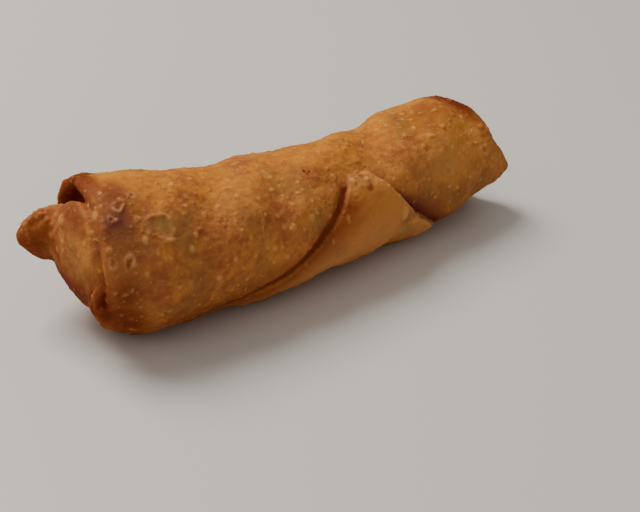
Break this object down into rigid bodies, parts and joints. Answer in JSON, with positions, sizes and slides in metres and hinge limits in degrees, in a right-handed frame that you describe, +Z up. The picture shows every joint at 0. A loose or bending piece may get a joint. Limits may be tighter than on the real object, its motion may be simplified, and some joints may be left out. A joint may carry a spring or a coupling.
{
  "type": "fried spring roll",
  "caption": "Deep-fried wrapped roll with a folded, open-lipped end, a tucked end and a pointed closing flap on its side.",
  "frame": {"origin": "on the surface the roll rests on, under the centre of its bounding box", "axes": "+Z up, +X along the roll from the open-lipped end to the tucked end, -Y towards the side with the closing flap"},
  "size_m": [0.138, 0.0412, 0.0384],
  "materials": {
    "fried_wrapper": "golden-brown fried wheat wrapper, slightly oily, blistered, darker at the folds and ends"
  },
  "bodies": {
    "root": {"spring_roll": "fried_wrapper"}
  },
  "joints": []
}
